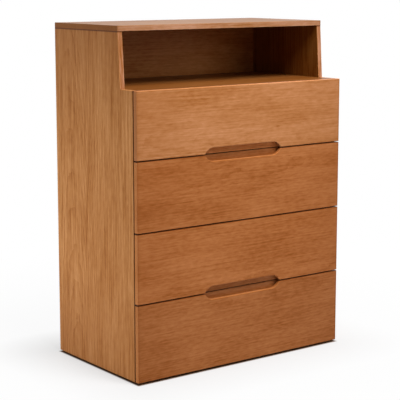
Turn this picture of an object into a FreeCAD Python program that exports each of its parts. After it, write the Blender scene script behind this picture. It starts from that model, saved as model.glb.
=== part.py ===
"""Chest of four drawers under an open niche: boards, dowels, screws and telescopic steel runners.

Millimetres. The origin is on the floor under the middle of the chest and +Z is up. The drawers open
towards -Y. Left is -X and right is +X, as seen by someone who faces the drawers. Drawer 1 is the top one.
"""

import FreeCAD, Part
import os

import Sketcher

SIZES = {
    "overall_width": 800,
    "overall_depth": 455,
    "overall_height": 1070,
    # carcass boards
    "board": 16,
    "edge_radius": 1,
    "top_setback": 97,
    "cheek_setback": 85,
    "back_board": 5,
    "back_inset": 14,
    "back_groove": 8,
    "shelf_groove": 6,
    "groove_clearance": 0.2,
    # glides under the bottom panel
    "glide_height": 6,
    "glide_diameter": 30,
    "glide_inset": 45,
    "glide_bevel": 1.5,
    # niche, and the drawer fronts that share the height under it, from the top one down
    "niche_height": 170,
    "front_share_1": 205,
    "front_share_2": 213,
    "front_share_3": 213,
    "front_share_4": 238,
    "front_board": 16,
    "front_gap": 3,
    "front_reveal": 4,
    "front_edge_radius": 1.5,
    # finger slots, each shared by two fronts
    "slot_width": 300,
    "slot_height": 42,
    "slot_end_length": 32,
    "slot_mouth_radius": 3,
    "slot_bevel": 5,
    # drawer boxes
    "box_board": 12,
    "box_length": 390,
    "box_space_above": 24,
    "box_space_below": 8,
    "box_back_inset": 10,
    "box_housing": 4,
    "box_bottom": 5,
    "box_bottom_rise": 10,
    "box_bottom_groove": 6,
    "inner_front_clearance": 3,
    # runners
    "runner_width": 13,
    "runner_height": 45,
    "runner_length": 380,
    "runner_rise": 60,
    "runner_setback": 2,
    "runner_steel": 1.2,
    "runner_head_room": 2.2,
    "runner_clearance": 0.4,
    "runner_tip_gap": 1,
    # dowels
    "dowel_diameter": 8,
    "dowel_length": 30,
    "dowel_in_face": 12,
    "dowel_edge": 50,
    # screws
    "screw_diameter": 3.5,
    "screw_head_diameter": 7,
    "screw_head_height": 1.6,
    "screw_edge": 40,
    "runner_screw_length": 12,
    "front_screw_length": 24,
    "front_screw_spread": 250,
    "back_screw_length": 20,
    "back_screw_pitch": 150,
    "hole_clearance": 0.1,
    "hole_end_clearance": 0.5,
    "hole_overrun": 2,
}

DRAWERS = ("1", "2", "3", "4")
SLOT_IN_LOWER_EDGE = ("1", "3")
SIDES = {"left": -1, "right": 1}
BACK_SCREW_STEPS = (-2, -1, 0, 1, 2)

# Places along X, from the middle plane outwards
HALF_WIDTH = "(Sizes.overall_width / 2)"
SIDE_INNER = f"({HALF_WIDTH} - Sizes.board)"
SIDE_MIDDLE = f"({HALF_WIDTH} - Sizes.board / 2)"
BOX_HALF = f"({SIDE_INNER} - Sizes.runner_width)"
BOX_INNER = f"({BOX_HALF} - Sizes.box_board)"

# Places along Y, from the drawer fronts to the rear
FRONT_FACE = "(-Sizes.overall_depth / 2)"
FRONT_BACK = f"({FRONT_FACE} + Sizes.front_board)"
CARCASS_FRONT = f"({FRONT_BACK} + Sizes.front_reveal)"
TOP_FRONT = f"({FRONT_FACE} + Sizes.top_setback)"
INNER_BACK = f"({FRONT_BACK} + Sizes.box_board)"
BOX_REAR = f"({INNER_BACK} + Sizes.box_length)"
BOX_BACK_REAR = f"({BOX_REAR} - Sizes.box_back_inset)"
BOX_BACK_FRONT = f"({BOX_BACK_REAR} - Sizes.box_board)"
RUNNER_FRONT = f"({INNER_BACK} + Sizes.runner_setback)"
RUNNER_REAR = f"({RUNNER_FRONT} + Sizes.runner_length)"
RUNNER_SCREW_ROWS = (f"({RUNNER_FRONT} + Sizes.screw_edge)", f"({RUNNER_REAR} - Sizes.screw_edge)")
REAR = "(Sizes.overall_depth / 2)"
BACK_REAR = f"({REAR} - Sizes.back_inset)"
BACK_FRONT = f"({BACK_REAR} - Sizes.back_board)"
NICHE_BACK_FRONT = f"({BACK_REAR} - Sizes.board)"

# Places along Z, from the floor up
FLOOR_GAP = "Sizes.glide_height"
BOTTOM_TOP = f"({FLOOR_GAP} + Sizes.board)"
TOP_UNDER = "(Sizes.overall_height - Sizes.board)"
STEP = f"({TOP_UNDER} - Sizes.niche_height)"
SHELF_UNDER = f"({STEP} - Sizes.board)"
FRONTS = f"({STEP} - {FLOOR_GAP} - {len(DRAWERS) - 1} * Sizes.front_gap)"
SHARES = "(" + " + ".join(f"Sizes.front_share_{n}" for n in DRAWERS) + ")"
FRONT_HEIGHT = {n: f"({FRONTS} * Sizes.front_share_{n} / {SHARES})" for n in DRAWERS}
FRONT_LOW = {}
FRONT_HIGH = {}
level = STEP
for number in DRAWERS:
    FRONT_HIGH[number] = level
    FRONT_LOW[number] = f"({level} - {FRONT_HEIGHT[number]})"
    level = f"({FRONT_LOW[number]} - Sizes.front_gap)"
BACK_TOP = f"({SHELF_UNDER} + Sizes.shelf_groove - Sizes.groove_clearance)"
BOX_LOW = {n: f"({FRONT_LOW[n]} + Sizes.board + Sizes.box_space_below)" for n in DRAWERS}
BOX_HIGH = {n: f"({FRONT_HIGH[n]} - Sizes.board - Sizes.box_space_above)" for n in DRAWERS}
BOX_FLOOR_LOW = {n: f"({BOX_LOW[n]} + Sizes.box_bottom_rise)" for n in DRAWERS}
BOX_FLOOR_HIGH = {n: f"({BOX_FLOOR_LOW[n]} + Sizes.box_bottom)" for n in DRAWERS}
RUNNER_MIDDLE = {n: f"({BOX_LOW[n]} + Sizes.runner_rise)" for n in DRAWERS}

# Sections of the runner members, half a finger slot, and the holes for dowels and screws
MEMBER_STEP = "(Sizes.runner_steel + Sizes.runner_clearance)"
MIDDLE_HEIGHT = f"(Sizes.runner_height - 2 * {MEMBER_STEP})"
DRAWER_MEMBER_HEIGHT = f"({MIDDLE_HEIGHT} - 2 * {MEMBER_STEP})"
MIDDLE_WEB = "(Sizes.runner_steel + Sizes.runner_head_room)"
CARCASS_FLANGE = "(Sizes.runner_width - Sizes.runner_tip_gap)"
MIDDLE_FLANGE = f"({CARCASS_FLANGE} - {MIDDLE_WEB})"
DRAWER_FLANGE = f"(Sizes.runner_width - {MIDDLE_WEB} - {MEMBER_STEP})"
HALF_SLOT = "((Sizes.slot_height - Sizes.front_gap) / 2)"
SLOT_STRAIGHT = "(Sizes.slot_width - 2 * Sizes.slot_end_length)"
SLOT_END_RADIUS = f"((Sizes.slot_end_length ^ 2 + {HALF_SLOT} ^ 2) / (2 * {HALF_SLOT}))"
SCREW_HOLE = "(Sizes.screw_diameter + 2 * Sizes.hole_clearance)"
DOWEL_HOLE = "(Sizes.dowel_diameter + 2 * Sizes.hole_clearance)"

AXES = {
    "+x": FreeCAD.Vector(1, 0, 0),
    "-x": FreeCAD.Vector(-1, 0, 0),
    "+y": FreeCAD.Vector(0, 1, 0),
    "-y": FreeCAD.Vector(0, -1, 0),
    "+z": FreeCAD.Vector(0, 0, 1),
    "-z": FreeCAD.Vector(0, 0, -1),
}
OPPOSITE = {"+x": "-x", "-x": "+x", "+z": "-z", "-z": "+z", "-y": "+y"}
OUTWARDS = {"left": "-x", "right": "+x"}
SAME_PLACE = 1e-4

doc = FreeCAD.newDocument("Chest")
sheet = doc.addObject("Spreadsheet::Sheet", "Sizes")
for row, (alias, number) in enumerate(SIZES.items(), start=1):
    sheet.set(f"A{row}", alias)
    sheet.set(f"B{row}", str(number))
    sheet.setAlias(f"B{row}", alias)
doc.recompute()

pieces = []


def value(expression):
    return sheet.evalExpression(expression)


def signed(sign, expression):
    return expression if sign > 0 else f"(-{expression})"


def both_ways(expression):
    """The stretch from the left to the right of the middle plane."""
    return f"(-{expression})", expression


def one_side(sign, inner, outer):
    """The low and high ends of a stretch on the left or the right side, given from the middle outwards."""
    return (inner, outer) if sign > 0 else (f"(-{outer})", f"(-{inner})")


def place(item, spot, rotation=None):
    if rotation:
        item.Placement = FreeCAD.Placement(FreeCAD.Vector(), rotation)
    for axis, expression in zip("xyz", spot):
        item.setExpression(f"Placement.Base.{axis}", expression)


def block(name, across, along, up):
    """A box between the low and high ends of its three stretches."""
    box = doc.addObject("Part::Box", name)
    for side, (low, high) in zip(("Length", "Width", "Height"), (across, along, up)):
        box.setExpression(side, f"{high} - {low}")
    place(box, (across[0], along[0], up[0]))
    return box


def rod(name, start, direction, diameter, length):
    """A round bar from a start point, along one of the axes."""
    bar = doc.addObject("Part::Cylinder", name)
    bar.setExpression("Radius", f"{diameter} / 2")
    bar.setExpression("Height", length)
    place(bar, start, FreeCAD.Rotation(AXES["+z"], AXES[direction]))
    return bar


def moved(spot, direction, distance):
    steps = (int(step) for step in AXES[direction])
    return tuple(f"({at} + {step} * ({distance}))" for at, step in zip(spot, steps))


def hole(name, mouth, direction, diameter, depth):
    """The tool for a round hole. It starts outside the board and goes to the given depth under the mouth."""
    outside = moved(mouth, OPPOSITE[direction], "Sizes.hole_overrun")
    return rod(name, outside, direction, diameter, f"{depth} + Sizes.hole_overrun")


def through_hole(name, mouth, direction, diameter, thickness):
    return hole(name, mouth, direction, diameter, f"{thickness} + Sizes.hole_overrun")


def screw(name, seat, direction, length):
    """A pan-head screw whose head sits on the seat and whose shank runs in the given direction."""
    crown = moved(seat, direction, "-Sizes.screw_head_height")
    fuse = doc.addObject("Part::Fuse", name)
    fuse.Base = rod(f"{name}_shank", seat, direction, "Sizes.screw_diameter", length)
    fuse.Tool = rod(f"{name}_head", crown, direction, "Sizes.screw_head_diameter", "Sizes.screw_head_height")
    return fuse


def cut(name, base, tools):
    tool = tools[0]
    if len(tools) > 1:
        tool = doc.addObject("Part::MultiFuse", f"{name}_tools")
        tool.Shapes = tools
    piece = doc.addObject("Part::Cut", f"{name}_cut")
    piece.Base = base
    piece.Tool = tool
    return piece


def keep(label, piece):
    piece.Label = label
    pieces.append(piece)


def keep_group(label, solids):
    group = doc.addObject("Part::Compound", f"{label}_group")
    group.Links = solids
    keep(label, group)


def new_sketch(body, role, name):
    sketch = body.newObject("Sketcher::SketchObject", name)
    plane = next(feature for feature in body.Origin.OriginFeatures if feature.Role == role)
    sketch.AttachmentSupport = [(plane, "")]
    sketch.MapMode = "FlatFace"
    return sketch


def limit(sketch, constraint, expression):
    index = sketch.addConstraint(constraint)
    sketch.setExpression(f"Constraints[{index}]", expression)


def fix_point(sketch, line, end, across, up):
    """Ties the end of a line to a place given by two expressions, neither of them below zero."""
    for kind, axis, expression in (("DistanceX", -2, across), ("DistanceY", -1, up)):
        if expression == "0":
            sketch.addConstraint(Sketcher.Constraint("PointOnObject", line, end, axis))
        else:
            limit(sketch, Sketcher.Constraint(kind, -1, 1, line, end, value(expression)), expression)


def outline(sketch, corners):
    """A closed outline of straight edges, with every corner tied to its two expressions."""
    spots = [FreeCAD.Vector(value(across), value(up), 0) for across, up in corners]
    following = [*range(1, len(spots)), 0]
    for line, end in enumerate(following):
        sketch.addGeometry(Part.LineSegment(spots[line], spots[end]))
    for line, end in enumerate(following):
        sketch.addConstraint(Sketcher.Constraint("Coincident", line, 2, end, 1))
    for line, (across, up) in enumerate(corners):
        fix_point(sketch, line, 1, across, up)


def slot_outline(sketch, spread, board_edge):
    """A finger slot, grown all round by a spread. It reaches into a drawer front from the lower edge, or else from
    the given upper edge, and its ends are arcs that run out through that edge."""
    depth = f"({HALF_SLOT} + {spread})"
    end_radius = f"({SLOT_END_RADIUS} + {spread})"
    right_end = f"{HALF_WIDTH} + {SLOT_STRAIGHT} / 2"
    level = f"{board_edge} - {depth}" if board_edge else depth
    radius = value(end_radius)
    length = value(SLOT_STRAIGHT)
    up = FreeCAD.Vector(0, radius, 0)
    out = FreeCAD.Vector(radius, 0, 0)
    right = FreeCAD.Vector(value(right_end), value(level), 0) + (up if board_edge else -up)
    left = right - FreeCAD.Vector(length, 0, 0)
    sketch.addGeometry(Part.LineSegment(left - up, right - up))
    sketch.addGeometry(Part.Arc(right - up, right + out, right + up))
    sketch.addGeometry(Part.LineSegment(right + up, left + up))
    sketch.addGeometry(Part.Arc(left + up, left - out, left - up))
    for line, end in enumerate((1, 2, 3, 0)):
        sketch.addConstraint(Sketcher.Constraint("Tangent", line, 2, end, 1))
    sketch.addConstraint(Sketcher.Constraint("Equal", 1, 3))
    sketch.addConstraint(Sketcher.Constraint("Horizontal", 0))
    limit(sketch, Sketcher.Constraint("Radius", 1, radius), end_radius)
    limit(sketch, Sketcher.Constraint("DistanceX", 0, 1, 0, 2, length), SLOT_STRAIGHT)
    line, end = (0, 2) if board_edge else (2, 1)
    fix_point(sketch, line, end, right_end, level)


def circles(sketch, diameter, centres):
    """Circles of one size, with every centre tied to its two expressions."""
    radius = value(diameter) / 2
    upwards = FreeCAD.Vector(0, 0, 1)
    for number, (across, up) in enumerate(centres):
        centre = FreeCAD.Vector(value(across), value(up), 0)
        sketch.addGeometry(Part.Circle(centre, upwards, radius))
        limit(sketch, Sketcher.Constraint("Diameter", number, 2 * radius), diameter)
        fix_point(sketch, number, 3, across, up)


def pocket(body, sketch, name, depth=None, taper=0):
    """Cuts an outline out of the body from behind, to the depth or else right through. A taper narrows it."""
    before = body.Tip.Shape.Volume
    feature = body.newObject("PartDesign::Pocket", name)
    feature.Profile = sketch
    feature.Reversed = True
    feature.TaperAngle = taper
    if depth:
        feature.setExpression("Length", depth)
    else:
        feature.Type = "ThroughAll"
    doc.recompute()
    if feature.Shape.Volume > before - SAME_PLACE:
        raise RuntimeError(f"{name} cuts nothing")


def pad(body, sketch, length, name):
    feature = body.newObject("PartDesign::Pad", name)
    feature.Profile = sketch
    feature.setExpression("Length", length)
    doc.recompute()


def round_edges(body, radius, test, name):
    """Rounds those edges of the body whose box passes the test."""
    edges = [f"Edge{n}" for n, edge in enumerate(body.Tip.Shape.Edges, start=1) if test(edge.BoundBox)]
    base = body.Tip
    feature = body.newObject("PartDesign::Fillet", name)
    feature.Base = (base, edges)
    feature.setExpression("Radius", radius)
    doc.recompute()


def dowel_joint(name, spot, into_face):
    """A dowel with its hole in a board's face and its hole in the other board's edge."""
    in_edge = "(Sizes.dowel_length - Sizes.dowel_in_face)"
    start = moved(spot, OPPOSITE[into_face], in_edge)
    dowel = rod(name, start, into_face, "Sizes.dowel_diameter", "Sizes.dowel_length")
    face_depth = "Sizes.dowel_in_face + Sizes.hole_end_clearance"
    face_hole = hole(f"{name}_face_hole", spot, into_face, DOWEL_HOLE, face_depth)
    edge_depth = f"{in_edge} + Sizes.hole_end_clearance"
    edge_hole = hole(f"{name}_edge_hole", spot, OPPOSITE[into_face], DOWEL_HOLE, edge_depth)
    return dowel, face_hole, edge_hole


def dowel_spots(sign):
    """Where the dowels cross the faces of one side panel, and of the top panel above it."""
    inner = signed(sign, SIDE_INNER)
    first = "+ Sizes.dowel_edge"
    last = "- Sizes.dowel_edge"
    shelf_level = f"({STEP} - Sizes.board / 2)"
    bottom_level = f"({FLOOR_GAP} + Sizes.board / 2)"
    back_depth = f"({BACK_REAR} - Sizes.board / 2)"
    ends = ((CARCASS_FRONT, first), (BACK_FRONT, last))
    return {
        "shelf": [(inner, f"({end} {step})", shelf_level) for end, step in ends],
        "bottom": [(inner, f"({end} {step})", bottom_level) for end, step in ends],
        "niche_back": [(inner, back_depth, f"({end} {step})")
                       for end, step in ((STEP, first), (TOP_UNDER, last))],
        "top": [(signed(sign, SIDE_MIDDLE), f"({end} {step})", TOP_UNDER)
                for end, step in ((TOP_FRONT, first), (REAR, last))],
    }


def carcass_dowels():
    """Makes the dowels, and returns the holes that each board gets for them."""
    dowels = []
    holes = {board: [] for board in ("left", "right", "top", "shelf", "bottom", "niche_back")}
    for side, sign in SIDES.items():
        for board, spots in dowel_spots(sign).items():
            into_face = "+z" if board == "top" else OUTWARDS[side]
            with_face, with_edge = ("top", side) if board == "top" else (side, board)
            for number, spot in enumerate(spots, start=1):
                dowel, face_hole, edge_hole = dowel_joint(f"{board}_{side}_dowel_{number}", spot, into_face)
                dowels.append(dowel)
                holes[with_face].append(face_hole)
                holes[with_edge].append(edge_hole)
    keep_group("carcass_dowels", dowels)
    return holes


def side_panel(side, sign, holes):
    """One board with a step: full depth beside the drawers, set back and slanted beside the niche."""
    body = doc.addObject("PartDesign::Body", f"side_{side}_body")
    sketch = new_sketch(body, "YZ_Plane", f"side_{side}_outline")
    lower_front = "Sizes.front_board + Sizes.front_reveal"
    outline(sketch, [
        ("Sizes.overall_depth", FLOOR_GAP),
        (lower_front, FLOOR_GAP),
        (lower_front, STEP),
        ("Sizes.cheek_setback", STEP),
        ("Sizes.top_setback", TOP_UNDER),
        ("Sizes.overall_depth", TOP_UNDER),
    ])
    pad(body, sketch, "Sizes.board", f"side_{side}_board")
    low = value(FLOOR_GAP) + SAME_PLACE
    high = value(TOP_UNDER) - SAME_PLACE
    rear = value("Sizes.overall_depth") - SAME_PLACE

    def on_front_outline(box):
        along_face = box.XLength < SAME_PLACE
        on_end = box.ZMax < low or box.ZMin > high
        return along_face and not on_end and box.YMin < rear

    round_edges(body, "Sizes.edge_radius", on_front_outline, f"side_{side}_rounding")
    place(body, (SIDE_INNER if sign > 0 else f"(-{HALF_WIDTH})", FRONT_FACE, "0"))
    tools = [block(
        f"side_{side}_back_groove",
        one_side(sign, SIDE_INNER, f"({SIDE_INNER} + Sizes.back_groove)"),
        (f"({BACK_FRONT} - Sizes.groove_clearance)", f"({BACK_REAR} + Sizes.groove_clearance)"),
        (FLOOR_GAP, f"({SHELF_UNDER} + Sizes.shelf_groove)"),
    )]
    depth = "Sizes.runner_screw_length - Sizes.runner_steel + Sizes.hole_end_clearance"
    for number in DRAWERS:
        for screw_row, along in enumerate(RUNNER_SCREW_ROWS, start=1):
            spot = (signed(sign, SIDE_INNER), along, RUNNER_MIDDLE[number])
            name = f"side_{side}_pilot_{number}_{screw_row}"
            tools.append(hole(name, spot, OUTWARDS[side], SCREW_HOLE, depth))
    name = f"side_panel_{side}"
    keep(name, cut(name, body, tools + holes[side]))


def top_panel(holes):
    body = doc.addObject("PartDesign::Body", "top_body")
    sketch = new_sketch(body, "XY_Plane", "top_outline")
    depth = "Sizes.overall_depth - Sizes.top_setback"
    outline(sketch, [("0", "0"), ("Sizes.overall_width", "0"), ("Sizes.overall_width", depth), ("0", depth)])
    pad(body, sketch, "Sizes.board", "top_board")
    upper = value("Sizes.board") - SAME_PLACE
    round_edges(body, "Sizes.edge_radius", lambda box: box.ZMin > upper, "top_rounding")
    place(body, (f"(-{HALF_WIDTH})", TOP_FRONT, TOP_UNDER))
    keep("top_panel", cut("top_panel", body, holes["top"]))


def niche_boards(holes):
    """The shelf under the niche, with a groove for the back panel, and the niche's own back."""
    across = both_ways(SIDE_INNER)
    shelf = block("shelf_board", across, (CARCASS_FRONT, BACK_REAR), (SHELF_UNDER, STEP))
    groove = block(
        "shelf_back_groove",
        across,
        (f"({BACK_FRONT} - Sizes.groove_clearance)", BACK_REAR),
        (SHELF_UNDER, f"({SHELF_UNDER} + Sizes.shelf_groove)"),
    )
    keep("niche_shelf", cut("niche_shelf", shelf, [groove, *holes["shelf"]]))
    back = block("niche_back_board", across, (NICHE_BACK_FRONT, BACK_REAR), (STEP, TOP_UNDER))
    keep("niche_back", cut("niche_back", back, holes["niche_back"]))


def bottom_and_back(holes):
    """The bottom panel, and the thin back panel that is screwed to its rear edge."""
    bottom = block("bottom_board", both_ways(SIDE_INNER), (CARCASS_FRONT, BACK_FRONT), (FLOOR_GAP, BOTTOM_TOP))
    reach = f"({SIDE_INNER} + Sizes.back_groove - Sizes.groove_clearance)"
    back = block("thin_back_board", both_ways(reach), (BACK_FRONT, BACK_REAR), (FLOOR_GAP, BACK_TOP))
    pilot_depth = "Sizes.back_screw_length - Sizes.back_board + Sizes.hole_end_clearance"
    level = f"({FLOOR_GAP} + Sizes.board / 2)"
    screws = []
    holes_in_back = []
    pilots = []
    for number, step in enumerate(BACK_SCREW_STEPS, start=1):
        name = f"back_screw_{number}"
        across = f"({step} * Sizes.back_screw_pitch)"
        seat = (across, BACK_REAR, level)
        screws.append(screw(name, seat, "-y", "Sizes.back_screw_length"))
        holes_in_back.append(through_hole(f"{name}_hole", seat, "-y", SCREW_HOLE, "Sizes.back_board"))
        pilots.append(hole(f"{name}_pilot", (across, BACK_FRONT, level), "-y", SCREW_HOLE, pilot_depth))
    keep("bottom_panel", cut("bottom_panel", bottom, pilots + holes["bottom"]))
    keep("back_panel", cut("back_panel", back, holes_in_back))
    keep_group("back_panel_screws", screws)


def glides():
    """Four round pads under the corners of the bottom panel, with a bevel at the floor."""
    pads = []
    radius = "Sizes.glide_diameter / 2"
    rows = {"front": f"({CARCASS_FRONT} + Sizes.glide_inset)", "rear": f"({BACK_FRONT} - Sizes.glide_inset)"}
    for side, sign in SIDES.items():
        for end, along in rows.items():
            name = f"glide_{end}_{side}"
            body = doc.addObject("PartDesign::Body", name)
            sketch = new_sketch(body, "XZ_Plane", f"{name}_section")
            outline(sketch, [
                ("0", "0"),
                (f"{radius} - Sizes.glide_bevel", "0"),
                (radius, "Sizes.glide_bevel"),
                (radius, "Sizes.glide_height"),
                ("0", "Sizes.glide_height"),
            ])
            turned = body.newObject("PartDesign::Revolution", f"{name}_turned")
            turned.Profile = sketch
            turned.ReferenceAxis = (sketch, ["V_Axis"])
            turned.Angle = 360
            place(body, (signed(sign, f"({HALF_WIDTH} - Sizes.glide_inset)"), along, "0"))
            pads.append(body)
    keep_group("glides", pads)


def channel(name, web_at, towards, middle, height, flange):
    """A straight steel channel along Y. Its web backs onto web_at and its flanges point to +X or -X."""
    body = doc.addObject("PartDesign::Body", f"{name}_body")
    sketch = new_sketch(body, "XZ_Plane", f"{name}_section")
    steel = "Sizes.runner_steel"
    upper = f"{height} - {steel}"
    outline(sketch, [
        ("0", "0"),
        (flange, "0"),
        (flange, steel),
        (steel, steel),
        (steel, upper),
        (flange, upper),
        (flange, height),
        ("0", height),
    ])
    pad(body, sketch, "Sizes.runner_length", f"{name}_length")
    end = RUNNER_REAR if towards > 0 else RUNNER_FRONT
    turn = FreeCAD.Rotation(AXES["+z"], 0 if towards > 0 else 180)
    place(body, (web_at, end, f"({middle} - {height} / 2)"), turn)
    return body


def carcass_runner(number, side, sign):
    """The fixed member of a runner. Returns the two screws that hold it to the side panel."""
    name = f"carcass_runner_{number}_{side}"
    middle = RUNNER_MIDDLE[number]
    body = channel(name, signed(sign, SIDE_INNER), -sign, middle, "Sizes.runner_height", CARCASS_FLANGE)
    seat_at = signed(sign, f"({SIDE_INNER} - Sizes.runner_steel)")
    holes = []
    screws = []
    for screw_row, along in enumerate(RUNNER_SCREW_ROWS, start=1):
        seat = (seat_at, along, middle)
        outwards = OUTWARDS[side]
        holes.append(through_hole(f"{name}_hole_{screw_row}", seat, outwards, SCREW_HOLE, "Sizes.runner_steel"))
        screws.append(screw(f"{name}_screw_{screw_row}", seat, outwards, "Sizes.runner_screw_length"))
    keep(name, cut(name, body, holes))
    return screws


def runners(number):
    """Both runners of one drawer. Returns the screws of their fixed members."""
    screws = []
    middles = []
    level = RUNNER_MIDDLE[number]
    for side, sign in SIDES.items():
        screws += carcass_runner(number, side, sign)
        web_at = signed(sign, f"({SIDE_INNER} - {MIDDLE_WEB})")
        name = f"middle_runner_{number}_{side}"
        middles.append(channel(name, web_at, -sign, level, MIDDLE_HEIGHT, MIDDLE_FLANGE))
        name = f"drawer_{number}_runner_{side}"
        keep(name, channel(name, signed(sign, BOX_HALF), sign, level, DRAWER_MEMBER_HEIGHT, DRAWER_FLANGE))
    keep_group(f"middle_runners_{number}", middles)
    return screws


def drawer_front(number, screw_places):
    """A front that covers the carcass, with half a finger slot in its lower or its upper edge."""
    name = f"drawer_{number}_front"
    width = "Sizes.overall_width"
    height = FRONT_HEIGHT[number]
    body = doc.addObject("PartDesign::Body", f"{name}_body")
    sketch = new_sketch(body, "XZ_Plane", f"{name}_outline")
    outline(sketch, [("0", "0"), (width, "0"), (width, height), ("0", height)])
    pad(body, sketch, "Sizes.front_board", f"{name}_board")

    board_edge = None if number in SLOT_IN_LOWER_EDGE else height
    sketch = new_sketch(body, "XZ_Plane", f"{name}_slot_outline")
    slot_outline(sketch, "0", board_edge)
    pocket(body, sketch, f"{name}_slot")
    right_corner = value(width) - SAME_PLACE
    mouth_level = value(board_edge) if board_edge else 0
    face = SAME_PLACE - value("Sizes.front_board")

    def at_mouth(box):
        through_board = box.XLength < SAME_PLACE and box.ZLength < SAME_PLACE
        at_corner = box.XMin < SAME_PLACE or box.XMin > right_corner
        return through_board and not at_corner and abs(box.ZMin - mouth_level) < SAME_PLACE

    def on_face(box):
        return box.YMax < face

    round_edges(body, "Sizes.slot_mouth_radius", at_mouth, f"{name}_mouth")
    round_edges(body, "Sizes.front_edge_radius", on_face, f"{name}_rounding")

    sketch = new_sketch(body, "XZ_Plane", f"{name}_grip_outline")
    slot_outline(sketch, "Sizes.slot_bevel", board_edge)
    pocket(body, sketch, f"{name}_grip", "Sizes.slot_bevel", taper=-45)
    sketch = new_sketch(body, "XZ_Plane", f"{name}_pilot_outline")
    low = FRONT_LOW[number]
    pilots = [(f"({across} + {HALF_WIDTH})", f"({up} - {low})") for across, up in screw_places]
    circles(sketch, SCREW_HOLE, pilots)
    depth = "Sizes.front_screw_length - Sizes.box_board + Sizes.hole_end_clearance"
    pocket(body, sketch, f"{name}_pilots", depth)
    place(body, (f"(-{HALF_WIDTH})", FRONT_BACK, low))
    keep(name, body)


def inner_front(number, screw_places):
    """The front board of the drawer box, which also closes the finger slot from behind."""
    name = f"drawer_{number}_inner_front"
    low = FRONT_LOW[number]
    high = FRONT_HIGH[number]
    if number == DRAWERS[0]:
        high = f"({SHELF_UNDER} - Sizes.inner_front_clearance)"
    if number == DRAWERS[-1]:
        low = f"({BOTTOM_TOP} + Sizes.inner_front_clearance)"
    board = block(f"{name}_board", both_ways(BOX_HALF), (FRONT_BACK, INNER_BACK), (low, high))
    housed = (f"({INNER_BACK} - Sizes.box_housing)", INNER_BACK)
    tools = [block(
        f"{name}_groove",
        both_ways(f"({BOX_INNER} + Sizes.box_bottom_groove)"),
        (f"({INNER_BACK} - Sizes.box_bottom_groove)", INNER_BACK),
        floor_groove(number),
    )]
    for side, sign in SIDES.items():
        across = one_side(sign, f"({BOX_INNER} - Sizes.groove_clearance)", BOX_HALF)
        upright = (BOX_LOW[number], BOX_HIGH[number])
        tools.append(block(f"{name}_housing_{side}", across, housed, upright))
    for screw_number, (across, up) in enumerate(screw_places, start=1):
        spot = (across, INNER_BACK, up)
        tools.append(through_hole(f"{name}_hole_{screw_number}", spot, "-y", SCREW_HOLE, "Sizes.box_board"))
    keep(name, cut(name, board, tools))


def floor_groove(number):
    half = "Sizes.groove_clearance / 2"
    return f"({BOX_FLOOR_LOW[number]} - {half})", f"({BOX_FLOOR_HIGH[number]} + {half})"


def drawer_box(number):
    """Two sides housed in the inner front, a back housed in the sides, and a bottom in grooves."""
    upright = (BOX_LOW[number], BOX_HIGH[number])
    side_front = f"({INNER_BACK} - Sizes.box_housing)"
    back_reach = f"({BOX_INNER} + Sizes.box_housing)"
    back_along = (BOX_BACK_FRONT, BOX_BACK_REAR)
    half = "Sizes.groove_clearance / 2"
    for side, sign in SIDES.items():
        name = f"drawer_{number}_side_{side}"
        board = block(f"{name}_board", one_side(sign, BOX_INNER, BOX_HALF), (side_front, BOX_REAR), upright)
        groove = block(
            f"{name}_groove",
            one_side(sign, BOX_INNER, f"({BOX_INNER} + Sizes.box_bottom_groove)"),
            (side_front, BOX_REAR),
            floor_groove(number),
        )
        housing = block(
            f"{name}_housing",
            one_side(sign, BOX_INNER, back_reach),
            (f"({BOX_BACK_FRONT} - {half})", f"({BOX_BACK_REAR} + {half})"),
            (BOX_FLOOR_HIGH[number], BOX_HIGH[number]),
        )
        keep(name, cut(name, board, [groove, housing]))
    up = (BOX_FLOOR_HIGH[number], BOX_HIGH[number])
    keep(f"drawer_{number}_back", block(f"drawer_{number}_back_board", both_ways(back_reach), back_along, up))
    floor_reach = f"({BOX_INNER} + Sizes.box_bottom_groove - Sizes.groove_clearance)"
    floor_front = f"({INNER_BACK} - Sizes.box_bottom_groove + Sizes.groove_clearance)"
    up = (BOX_FLOOR_LOW[number], BOX_FLOOR_HIGH[number])
    floor = block(f"drawer_{number}_floor", both_ways(floor_reach), (floor_front, BOX_BACK_REAR), up)
    keep(f"drawer_{number}_bottom", floor)


def drawer(number):
    levels = (f"({BOX_LOW[number]} + Sizes.screw_edge)", f"({BOX_HIGH[number]} - Sizes.screw_edge)")
    screw_places = [(signed(sign, "Sizes.front_screw_spread"), up) for sign in SIDES.values() for up in levels]
    drawer_front(number, screw_places)
    inner_front(number, screw_places)
    drawer_box(number)
    screws = []
    for screw_number, (across, up) in enumerate(screw_places, start=1):
        name = f"front_screw_{number}_{screw_number}"
        screws.append(screw(name, (across, INNER_BACK, up), "-y", "Sizes.front_screw_length"))
    keep_group(f"drawer_{number}_front_screws", screws)


board_holes = carcass_dowels()
for side, sign in SIDES.items():
    side_panel(side, sign, board_holes)
top_panel(board_holes)
niche_boards(board_holes)
bottom_and_back(board_holes)
glides()
runner_screws = []
for number in DRAWERS:
    drawer(number)
    runner_screws += runners(number)
keep_group("runner_screws", runner_screws)
doc.recompute()

for item in doc.Objects:
    if "Invalid" in item.State or "Error" in item.State:
        raise RuntimeError(f"{item.Label} failed: {item.State}")
for piece in pieces:
    if piece.Shape.isNull() or not piece.Shape.isValid() or not piece.Shape.Solids:
        raise RuntimeError(f"{piece.Label} has no valid solid")

os.makedirs("parts", exist_ok=True)
for piece in pieces:
    piece.Shape.exportStep(f"parts/{piece.Label}.step")
    print(piece.Label, len(piece.Shape.Solids), round(piece.Shape.Volume))
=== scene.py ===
"""Finishes, fittings and studio for a chest of four drawers under an open niche, laid out as an add-on."""

import math
from collections import namedtuple

import bmesh
import bpy
from bpy.props import FloatProperty, FloatVectorProperty, PointerProperty
from mathutils import Matrix, Vector


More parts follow.
